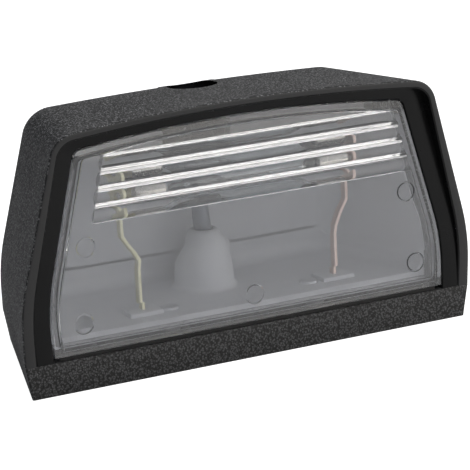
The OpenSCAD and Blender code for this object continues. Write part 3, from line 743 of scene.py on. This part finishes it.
class LAMP_OT_stage(bpy.types.Operator):
    """Makes the camera, the white tent, the soft lights and the pale floor"""
    bl_idname = "lamp.stage"
    bl_label = "Stage"

    def execute(self, context):
        given, scene = context.scene.lamp_stage, context.scene
        self.camera(scene, given.azimuth, given.elevation, given.roll, given.focal)
        scene.view_settings.view_transform, scene.view_settings.look = "Standard", "None"
        scene.world = self.tent(given.daylight)
        self.floor()
        # Each with its place and its width in millimetres, its brightness and whether it is warm
        for name, spot, size, brightness, warm in (
                ("Top softbox", (110, -120, 450), 400, 1.6, False),
                ("Front softbox", (-260, -620, 260), 260, 1.8, False),
                ("Front right card", (340, -680, 230), 520, 1.2, True),
                ("Right softbox", (600, -430, 170), 200, 7.5, True)):
            glow = bpy.data.lights.new(name, "AREA")
            glow.size, glow.energy = size * MM, brightness * pi * (size * MM) ** 2
            glow.color = (1.0, 0.96, 0.88) if warm else WHITE[:3]
            aim = Vector((0, 0, 22)) - Vector(spot)
            new_object(name, glow).matrix_world = (
                Matrix.Translation(Vector(spot) * MM) @ aim.to_track_quat("-Z", "Y").to_matrix().to_4x4())
        return {"FINISHED"}

    def camera(self, scene, azimuth, elevation, roll, focal):
        """Makes the camera and has it look at the lamp."""
        back = np.array([-sin(azimuth) * cos(elevation), -cos(azimuth) * cos(elevation), sin(elevation)])
        right = np.array([cos(azimuth), -sin(azimuth), 0])
        up = np.cross(back, right)
        axes = np.array([cos(roll) * right - sin(roll) * up, sin(roll) * right + cos(roll) * up, back])
        # Millimetres from the middle of the base's front edge, to the camera's right, up and back
        eye = axes.T @ np.array([-3.7064, 20.1474, 432.796]) - [0, BASE_D / 2, 0]
        lens = bpy.data.cameras.new("Camera")
        lens.sensor_width, lens.lens = 36, focal
        lens.clip_start, lens.clip_end = 0.01, 20
        scene.camera = new_object("Camera", lens)
        scene.camera.matrix_world = Matrix.Translation(Vector(eye * MM)) @ Matrix(axes.T.tolist()).to_4x4()

    def tent(self, daylight):
        """World of the tent: the camera sees it pure white, and the lamp is lit by less."""
        sky = bpy.data.worlds.new("White tent")
        sky.use_nodes = True
        tree = sky.node_tree
        tree.nodes.clear()
        way = add(tree, "SeparateXYZ", {"Vector": add(tree, "TexCoord").outputs["Generated"]})
        level = add(tree, "MapRange", {
            "Value": way.outputs["Z"], "From Max": 0.8, "To Min": 0.25 * daylight, "To Max": daylight})
        # The tent is darker and cooler on the left of the lamp
        side = add(tree, "MapRange", {
            "Value": way.outputs["X"], "From Min": -0.8, "From Max": 0.5, "To Min": 0.2, "To Max": 1.1})
        tint = add(tree, "Mix", {"Factor": side, "A": linear("#d9e1f6"), "B": WHITE}, data_type="RGBA")
        light = add(tree, "Background", {
            "Color": tint, "Strength": add(tree, "Math", {0: level, 1: side}, operation="MULTIPLY")})
        seen = add(tree, "Background", {"Color": WHITE, "Strength": 1.2})
        ray = add(tree, "LightPath").outputs["Is Camera Ray"]
        both = add(tree, "MixShader", {0: ray, 1: light, 2: seen})
        add(tree, "OutputWorld", {"Surface": both})
        return sky

    def floor(self):
        """Makes the white paper sweep, so evenly lit that no shadow is left on it."""
        paper, tree, shader, place = new_material("White paper", {
            "Base Color": linear("#b4b4b4"), "Roughness": 0.9, "Emission Color": WHITE})
        across = add(tree, "MapRange", {
            "Value": add(tree, "SeparateXYZ", {"Vector": place}).outputs["X"],
            "From Min": -100 * MM, "From Max": 300 * MM, "To Min": 0.05, "To Max": 0.6})
        ray = add(tree, "LightPath").outputs["Is Camera Ray"]
        glow = add(tree, "Math", {0: ray, 1: across}, operation="MAXIMUM")
        connect(tree, shader, {"Emission Strength": glow})
        fibres = add(tree, "TexNoise", {"Vector": place, "Scale": per_mm(3), "Detail": 3.0})
        worked(tree, shader, (fibres, 0.05, 0.05))
        floor = mesh_object("floor", rectangle(0, 0, 2500, 2500, -0.05), [(0, 1, 2, 3)], False)
        floor.data.materials.append(paper)


class LAMP_OT_hood(bpy.types.Operator):
    """Builds the moulded hood: skin, rim, recess, lens opening, hollow, screw well, boss and web"""
    bl_idname = "lamp.hood"
    bl_label = "Hood"

    def execute(self, context):
        sizes = context.scene.lamp_sizes
        edge, ridge = sizes.rim_edge / MM, sizes.ridge_edge / MM
        rings = [skin_ring(1, along, -across) for across, along in reversed(rounding(ridge, 6))]
        rings += [skin_ring(u, 0, 0) for u in np.linspace(0.94, 0.05, 22)]
        rings += [skin_ring(0, across, along) for across, along in reversed(rounding(edge, 6))]
        recess = len(rings)
        # Soft inner edge of the rim, where its face turns into the recess
        slope = RIM_LEAN / HOOD_H
        for across, along in rounding(0.3, 3):
            flat = outline(inset(RECESS_SIZES, -across), 0)
            w = (LENS_PROUD - flat[:, 1] * (LENS_SIN + slope * LENS_COS)) / (LENS_COS - slope * LENS_SIN) + along
            flat[[0, -1], 1] = w[0] * tan(LENS_TILT)
            rings.append(in_lens_plane(flat[:, 0], flat[:, 1], w))
        front, back = HOOD_FLANGE
        rings.append(lens_ring(RECESS_SIZES, front))
        rings += [lens_ring(inset(OPENING_SIZES, -across), front + along) for across, along in rounding(0.2, 3)]
        opening = len(rings)
        rings.append(lens_ring(OPENING_SIZES, back))
        # The hollow starts where its walls meet the back of the flange
        steps = np.linspace(-0.2, 0.5, 141)
        depths = np.array([lens_depth(skin_ring(u, WALL, 0)) for u in steps])
        starts = np.array([np.interp(back, depths[:, i], steps) for i in range(len(rings[0]))])
        for share in np.linspace(0, 1, 12):
            wanted = starts + (5 / 6 - starts) * share
            rings.append(np.array([skin_ring(u, WALL, 0)[i] for i, u in enumerate(wanted)]))
        rings += [skin_ring(1, WALL, -WALL - ridge), skin_ring(1, WALL + 0.6, -WALL)]
        hood = self.shell(rings, range(recess, opening))
        finishes = hood_plastic(context.scene.lamp_colours), polished_shade_plastic()
        for material in finishes:
            hood.data.materials.append(material)

        start, low = SCREW_DEPTH + 2, BOSS_END_Z + 6
        ends = [back_depth(height) - 0.9 for height in (23.4, SEAT_Z - BASE_H)]
        web = [[(side * BOSS_WALL / 2, y, z) for y, z in ((start, low), (ends[0], low), (ends[1], SEAT_Z),
                                                          (start, SEAT_Z))] for side in (-1, 1)]
        joined_with(hood, prism(web), "UNION")
        # The well's wall goes on behind the ridge and falls away there
        well_r, well_foot, top, inside = WELL_R + BOSS_WALL, SEAT_Z - BOSS_WALL, 45, 0.03
        boss = turned("boss", [(0, BOSS_END_Z), (STEM_BOSS_R, BOSS_END_Z), (STEM_BOSS_R, well_foot),
                               (well_r, well_foot), (well_r, top), (0, top)], AT_SCREW, 96)
        level = [skin_ring(0, inside, inside), skin_ring(0.5, inside, 0), skin_ring(1, inside, 0),
                 skin_ring(1, inside + COLLAR_RUN * COLLAR_FALL, COLLAR_RUN)]
        joined_with(boss, self.shell(level, ()), "INTERSECT")
        joined_with(hood, boss, "UNION")
        well = turned("well", [(0, 10), (SHANK_HOLE_R, 10), (SHANK_HOLE_R, SEAT_Z), (WELL_R - 0.2, SEAT_Z),
                               (WELL_R, SEAT_Z + 0.2), (WELL_R, 50), (0, 50)], AT_SCREW, 96)
        # A polished core pin leaves the well's wall bare and glossy; its near-black colour is painted shade of the deep
        # well
        for material in finishes:
            well.data.materials.append(material)
        well.data.polygons.foreach_set("material_index", [1] * len(well.data.polygons))
        joined_with(hood, well, "DIFFERENCE")
        finish(hood, None, "hood", 28)
        return {"FINISHED"}

    def shell(self, rings, polished):
        """Closed form of a row of open rings. The rings named as polished have the second material, polished black with
        painted shade, after them.
        """
        rows = numbered(rings)
        faces = strips(rows, False)
        slots = [int(i // (len(rings[0]) - 1) in polished) for i in range(len(faces))]
        faces += fill_across(rows[0]) + fill_across(rows[-1])
        faces.append([row[0] for row in rows] + [row[-1] for row in reversed(rows)])
        slots += [0] * (len(faces) - len(slots))
        return mesh_object("hood_moulding", np.concatenate(rings), faces, slots=slots)


class LAMP_OT_lens(bpy.types.Operator):
    """Builds the clear lens: raised face, border, flange, skirt, flutes and pin marks"""
    bl_idname = "lamp.lens"
    bl_label = "Lens"

    def execute(self, context):
        clear, sizes = lens_acrylic(), context.scene.lamp_sizes
        field_foot, skirt_foot = LENS_FOOT + 0.7 * BORDER, LENS_FOOT + SKIRT_IN
        border_depth, (flange_front, flange_back) = HOOD_FLANGE[0], LENS_FLANGE
        rings = [lens_ring(inset(LENS_SIZES, BORDER + across), along, field_foot + across)
                 for across, along in rounding(0.22, 4)]
        rings.append(lens_ring(inset(LENS_SIZES, BORDER), border_depth, field_foot))
        rings += [lens_ring(inset(LENS_SIZES, across), border_depth + along, LENS_FOOT + across)
                  for across, along in rounding(0.15, 2)]
        rings += [lens_ring(LENS_SIZES, flange_front, LENS_FOOT), lens_ring(LENS_FLANGE_SIZES, flange_front, LENS_FOOT),
                  lens_ring(LENS_FLANGE_SIZES, flange_back, LENS_FOOT), lens_ring(SKIRT_SIZES, flange_back, skirt_foot)]
        rings += [lens_ring(inset(SKIRT_SIZES, along), sizes.face_thickness / MM + across, skirt_foot + along)
                  for across, along in rounding(0.3, 4)]
        lens = lofted("lens_moulding", rings)
        joined_with(lens, flute_block(sizes, clear), "UNION")

        # Ring marks of the mould's pins: two above, two below and one in the middle
        tilt = Matrix.Rotation(radians(90) - LENS_TILT, 3, "X")
        ring = [(1.3, 0.2), (1.42, -0.02), (1.55, -0.2), (1.62, -0.2), (1.74, -0.02), (1.85, 0.2)]
        upper, lower = LENS_SIZES[1] - 6.7, LENS_SIZES[1] - 5.5
        for x, v, step, count in ((-upper, 18.1, 2 * upper, 2), (-lower, 5.7, 2 * lower, 2), (0, 5.4, 0, 1)):
            groove = turned("groove", ring, lambda *point: tuple(tilt @ Vector(point)), from_front=False)
            start = in_lens_plane(x, v, 0.0)[0] - [0, BASE_D / 2, 0]
            joined_with(lens, row_of("pin_marks", groove, start, (step, 0, 0), count, clear), "DIFFERENCE")
        finish(lens, clear, "lens", 24)
        return {"FINISHED"}


class LAMP_OT_base(bpy.types.Operator):
    """Rounds the edges of the base and gives it its grain"""
    bl_idname = "lamp.base"
    bl_label = "Base"

    def execute(self, context):
        finish(cad_copy("base_moulding", "base", 0.22), base_plastic(context.scene.lamp_colours),
               "base")
        return {"FINISHED"}


class LAMP_OT_reflector(bpy.types.Operator):
    """Builds the grey tray with its dome, blocks and holes"""
    bl_idname = "lamp.reflector"
    bl_label = "Reflector"

    def execute(self, context):
        tray = self.block("reflector_moulding", TRAY_SIDE, TRAY_Z - TRAY_T - BASE_H, TRAY_BACK, 1.0, 1.0)
        inner = self.block("inner", TRAY_SIDE + TRAY_T, TRAY_Z - BASE_H, TRAY_BACK + TRAY_T, 2.2, 3.0)
        joined_with(tray, inner, "DIFFERENCE")
        # Only what lies behind the lens and under the hood's top is kept
        behind = [in_lens_plane(np.array([-WIDE, WIDE, WIDE, -WIDE]), np.full(4, v),
                                np.array([TRAY_FRONT, TRAY_FRONT, WIDE, WIDE])) for v in (-WIDE, WIDE)]
        joined_with(tray, prism(behind), "INTERSECT")
        below = [rectangle(0, 0, WIDE, WIDE, z) for z in (0, TRAY_TOP)]
        joined_with(tray, prism(below), "INTERSECT")
        joined_with(tray, lathe(self.dome(), AT_SCREW, 96), "UNION")

        bulb_x, bulb_y, _ = BULB_AT
        half_x, half_y, block_top = BLOCK[0] / 2, BLOCK[1] / 2, TRAY_Z + BLOCK[2]
        screws = [upright(x, TRAY_SCREW[1]) for x in (-TRAY_SCREW[0], TRAY_SCREW[0])]
        boss_foot, boss_top, hole_r = TRAY_Z - TRAY_T - 1.2, TRAY_Z - 0.4, WELL_R + BOSS_WALL + 0.5
        cuts = [lathe([(0, 2), (3.95, 2), (3.95, 12.25), (SHANK_HOLE_R, 12.25), (SHANK_HOLE_R, BOSS_END_Z - 1),
                       (hole_r, BOSS_END_Z - 1), (hole_r, WIDE), (0, WIDE)], AT_SCREW, 64)]
        cuts += [lathe([(0, 0), (1.1, 0), (1.1, TRAY_Z - 0.3), (0, TRAY_Z - 0.3)], place, 24) for place in screws]
        for side in (-1, 1):
            x = bulb_x + side * STEM_X
            rings = [rectangle(x, bulb_y, half_x - back, half_y - back, z) for back, z in (
                (0, TRAY_Z - 0.5), (0, block_top - 0.45), (0.13, block_top - 0.13), (0.45, block_top))]
            joined_with(tray, prism(rings), "UNION")
            cuts.append(prism([rectangle(x, bulb_y, 0.4, 0.8, z) for z in (0, 40)]))
            cuts.append(lathe([(0, 0), (1, 0), (1, 40), (0, 40)], upright(x - side * RIVET_IN, bulb_y), 24))
        under = [lathe([(0, boss_foot), (2.6, boss_foot), (2.6, boss_top), (0, boss_top)], place, 32)
                 for place in screws]
        joined_with(tray, together(under), "UNION")
        joined_with(tray, together(cuts), "DIFFERENCE")
        finish(tray, tray_plastic(), "reflector", 40)
        return {"FINISHED"}

    def dome(self):
        """Profile of the dome, which flares at its foot and narrows faster towards its flat top."""
        foot, lip, flare = 5.1, SHANK_HOLE_R + 0.6, 0.9
        side = [(foot + (lip - foot) * u ** 2.6, TRAY_Z + (DOME_TOP - TRAY_Z) * u) for u in np.linspace(0.06, 0.97, 20)]
        profile = [(0, TRAY_Z - 1), (foot + flare, TRAY_Z - 1)]
        profile += [(foot + flare * (1 - cos(a)), TRAY_Z + 0.88 - flare * sin(a))
                    for a in np.radians([90, 70, 50, 30, 12])]
        return profile + side[1:] + [(lip - 0.05, DOME_TOP - 0.12), (lip - 0.25, DOME_TOP), (0, DOME_TOP)]

    def block(self, name, inward, foot_h, back_in, foot_r, back_r):
        """Closed form of the space inside the hood, with rounded corners along its floor and its back."""
        rings = [skin_ring(u, inward, 0, foot_h, foot_r) for u in np.linspace(-1 / 6, 4 / 6, 14)]
        rings += [skin_ring(1, inward + along, -back_in - across, foot_h + along, foot_r)
                  for across, along in rounding(back_r, 6)]
        return lofted(name, rings)


class LAMP_OT_contacts(bpy.types.Operator):
    """Makes the contact strips, their rivets and the tinned tags"""
    bl_idname = "lamp.contacts"
    bl_label = "Contacts"

    def execute(self, context):
        # Rolled strips keep the fine lines of the rolls along their length
        rolled = {"rough": (0.4, 0.6), "cell": 0.3, "stretch": (1, 1, 0.1)}
        brass = metal("Rolled cartridge brass", "#fefbe2", "#eeeabf", **rolled)
        copper = metal("Rolled phosphor bronze", "#fdece3", "#eccdbd", **rolled)
        tinned = metal("Tin-plated brass", "#e3e4e5", "#b9bbbd", (0.25, 0.42), 0.4)
        steel = metal("Dull galvanised rivet steel", "#eff0f2", "#e0e1e4", (0.5, 0.65), 0.3)
        finish(cad_copy("strip_left", "contact_strip_left", 0.12), brass, "contact_strip_left")
        finish(cad_copy("strip_right", "contact_strip_right", 0.12), copper, "contact_strip_right")
        finish(cad_copy("tags", "terminal_tags", 0.1), tinned, "terminal_tags")
        foot, top = (corner.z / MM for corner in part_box("contact_rivets"))
        head_r = 1.7
        rivet = turned("rivet", [
            (0, foot), (1.4, foot), (head_r, foot + 0.2), (head_r, foot + 0.6), (1, foot + 0.6), (1, top - 0.6),
            (head_r, top - 0.6), (1.68, top - 0.42), (1.5, top - 0.2), (1.1, top - 0.05), (0.5, top), (0, top)],
            segments=32, from_front=False)
        rivets = pair_in("contact_rivets", "rivets", rivet, head_r, steel)
        finish(rivets, steel, "contact_rivets")
        return {"FINISHED"}


class LAMP_OT_bulb(bpy.types.Operator):
    """Makes the festoon bulb: glass tube, caps and coiled filament"""
    bl_idname = "lamp.bulb"
    bl_label = "Bulb"

    def execute(self, context):
        def along(direction):
            return lambda x, y, z: (BULB_AT[0] + direction * z, BULB_AT[1] + y, BULB_AT[2] + x)

        half, radius, thick = 15.5, 5.25, 0.5
        outer = [(2.9, 0), (2.9, 1.3), (3.1, 2.0), (3.9, 3.1), (4.6, 4.0), (5.05, 5.2), (radius, 6.8)]
        side = [(r, -half + z) for r, z in outer] + [(r, half - z) for r, z in reversed(outer)]
        inner = [(r - thick, z + thick * 0.6 * (1 if z < 0 else -1)) for r, z in side]
        tube = turned("bulb_tube", [(0, -half)] + side + [(0, half)], along(1), 64)
        void = turned("bulb_void", [(0, inner[0][1])] + inner + [(0, inner[-1][1])], along(1), 64)
        joined_with(tube, void, "DIFFERENCE")
        finish(tube, bulb_glass(), "bulb_glass", 50)

        nickel = metal("Nickel-plated brass cap", "#e2dfd8", "#b5b1a8", (0.14, 0.3), 0.3)
        cap_from = 14
        cup = [(2.9, 0), (3.3, 0), (3.5, 0.12), (3.5, 5.1), (3.4, 5.4), (3.2, 5.5), (2.2, 6.4), (1.25, 6.85),
               (1.1, 7.0), (0, 7.0), (0, 6.2), (2.9, 5.0)]
        for name, direction in (("left", -1), ("right", 1)):
            cap = turned("cap_" + name, [(r, cap_from + z) for r, z in cup], along(direction))
            finish(cap, nickel, "bulb_cap_" + name, 40)
        tungsten = metal("Drawn tungsten", "#8d8a86", "#5f5c59", (0.3, 0.5), 0.2)
        wire = coil("filament", radius=0.36, wire=0.075, length=12, turns=context.scene.lamp_sizes.turns, lead=13.4,
                    material=tungsten)
        finish(wire, tungsten, "bulb_filament")
        return {"FINISHED"}


class LAMP_OT_seals(bpy.types.Operator):
    """Makes the rubber seals, the cable grommet and the screw's washer"""
    bl_idname = "lamp.seals"
    bl_label = "Seals"

    def execute(self, context):
        black = rubber()
        for name, node, edge in (("foot_cord", "mounting_seal", 0.3), ("hood_cord", "hood_seal", 0.15),
                                 ("lens_gasket", "lens_seal", 0.1)):
            finish(cad_copy(name, node, edge), black, node)
        low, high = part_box("cable_grommet")
        middle, wide = (low + high) / 2 / MM, (high.x - low.x) / MM / 2
        grommet = turned("grommet", [
            (2.2, 0.35), (2.55, 0.0), (4.1, 0.0), (4.5, 0.35), (4.5, 3.0), (wide, 3.0), (wide - 0.1, 3.3),
            (4.75, 4.25), (4.4, 4.4), (2.5, 4.4), (2.2, 4.1)], upright(middle.x, middle.y + BASE_D / 2))
        finish(grommet, black, "cable_grommet")
        washer = turned("washer", [
            (1.55, 0.15), (1.7, 0), (3.65, 0), (3.8, 0.2), (3.8, 0.8), (3.6, WASHER_T), (1.7, WASHER_T),
            (1.55, 0.85)], upright(0, SCREW_DEPTH, SEAT_Z))
        finish(washer, black, "screw_washer")
        return {"FINISHED"}


class LAMP_OT_fixings(bpy.types.Operator):
    """Makes the cover screw, the reflector screws and the brass inserts"""
    bl_idname = "lamp.fixings"
    bl_label = "Fixings"

    def execute(self, context):
        # Machined or rolled metal keeps fine rings or lines of the tool
        zinc = metal("Zinc-plated steel", "#a9adb3", "#7d8188", (0.38, 0.55), 0.35)
        brass = metal("Turned free-cutting brass", "#d9b768", "#a9853f", (0.2, 0.36), 0.25)
        finish(self.cover_screw(), zinc, "cover_screw", 35)

        end, head_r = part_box("reflector_screws")[1].z / MM, 2.2
        small = turned("small_screw", [
            (0, 0.8), (0.5, 0.8), (0.75, 0.75), (0.75, 0.0), (1.9, 0.0), (2.15, 0.25), (head_r, 0.6), (head_r, 1.4),
            (1.1, 1.4), (1.1, end - 0.5), (0.7, end), (0, end)], from_front=False)
        screws = pair_in("reflector_screws", "tray_screws", small, head_r, zinc)
        finish(screws, zinc, "reflector_screws")

        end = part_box("mounting_inserts")[1].z / MM
        low_waist, high_waist = 0.3 * end, 0.7 * end
        insert = turned("insert", [
            (1.95, 0.0), (2.8, 0.0), (3.0, 0.2), (3.0, low_waist), (2.75, low_waist + 0.01), (2.75, high_waist),
            (3.0, high_waist + 0.01), (3.0, end - 0.2), (2.8, end), (1.95, end)], from_front=False)
        ridge = thread_ridge(radius=1.97, reach=1.68, pitch=0.7, length=end - 0.9, at=(0, 0, 0.45))
        carrying(insert, mesh_object("ridge", *ridge, from_front=False))
        row = row_of("threaded_inserts", insert, (-MOUNT_PITCH / 2, 0, 0), (MOUNT_PITCH, 0, 0), 2, brass)
        finish(row, brass, "mounting_inserts", 35)
        finish(cad_copy("pillar_sleeve", "pillar_insert", 0.15), brass, "pillar_insert")
        return {"FINISHED"}

    def cover_screw(self):
        """Screw with a domed head, a cross recess and a thread."""
        head, head_r, shank_r, core_r = SEAT_Z + WASHER_T, 3.8, 1.5, 1.2
        screw = turned("screw", [
            (0, 5.0), (1.1, 5.0), (core_r, 5.15), (core_r, 14.5), (shank_r, 15), (shank_r, head), (3.7, head),
            (head_r, head + 0.12), (head_r, head + 1.1), (3.6, head + 1.5), (3.05, head + 1.95), (2.2, head + 2.25),
            (1.1, head + 2.37), (0, head + 2.4)], AT_SCREW, 64)
        for turn in (0, 90):
            spin = Matrix.Rotation(radians(turn), 3, "Z")
            # Each slot of the cross is narrower at its foot than above the head
            rings = [rectangle(0, 0, *half, z) for half, z in (((1.1, 0.35), head + 0.75), ((2.3, 0.5), head + 3.15))]
            slot = [[tuple(spin @ Vector((x, y, 0)) + Vector((0, SCREW_DEPTH, z))) for x, y, z in ring]
                    for ring in rings]
            joined_with(screw, prism(slot), "DIFFERENCE")
        ridge = thread_ridge(radius=1.18, reach=shank_r, pitch=0.5, length=8.8, at=(0, SCREW_DEPTH, 5.5))
        return carrying(screw, mesh_object("thread", *ridge))


class LAMP_PT_panel(bpy.types.Panel):
    """Lists the lamp's sizes and colours and the operators that build it."""
    bl_label = "Number plate lamp"
    bl_idname = "LAMP_PT_panel"
    bl_space_type = "VIEW_3D"
    bl_region_type = "UI"
    bl_category = "Plate lamp"

    def draw(self, context):
        for settings in SETTINGS:
            group, box = getattr(context.scene, settings), self.layout.box()
            for name in group.bl_rna.properties.keys():
                if name not in ("rna_type", "name"):
                    box.prop(group, name)
        for operator in OPERATORS:
            self.layout.operator(operator.bl_idname)


SETTINGS = {"lamp_colours": LampColours, "lamp_sizes": LampSizes, "lamp_stage": LampStage}
OPERATORS = (LAMP_OT_stage, LAMP_OT_base, LAMP_OT_hood, LAMP_OT_lens, LAMP_OT_reflector, LAMP_OT_contacts,
             LAMP_OT_bulb, LAMP_OT_seals, LAMP_OT_fixings)
CLASSES = (*SETTINGS.values(), *OPERATORS, LAMP_PT_panel)


def register():
    for cls in CLASSES:
        bpy.utils.register_class(cls)
    for name, group in SETTINGS.items():
        setattr(bpy.types.Scene, name, PointerProperty(type=group))


def unregister():
    for name in SETTINGS:
        delattr(bpy.types.Scene, name)
    for cls in reversed(CLASSES):
        bpy.utils.unregister_class(cls)


def main():
    register()
    for step in ("stage", "base", "hood", "lens", "reflector", "contacts", "bulb", "seals", "fixings"):
        getattr(bpy.ops.lamp, step)()


if __name__ == "__main__":
    main()
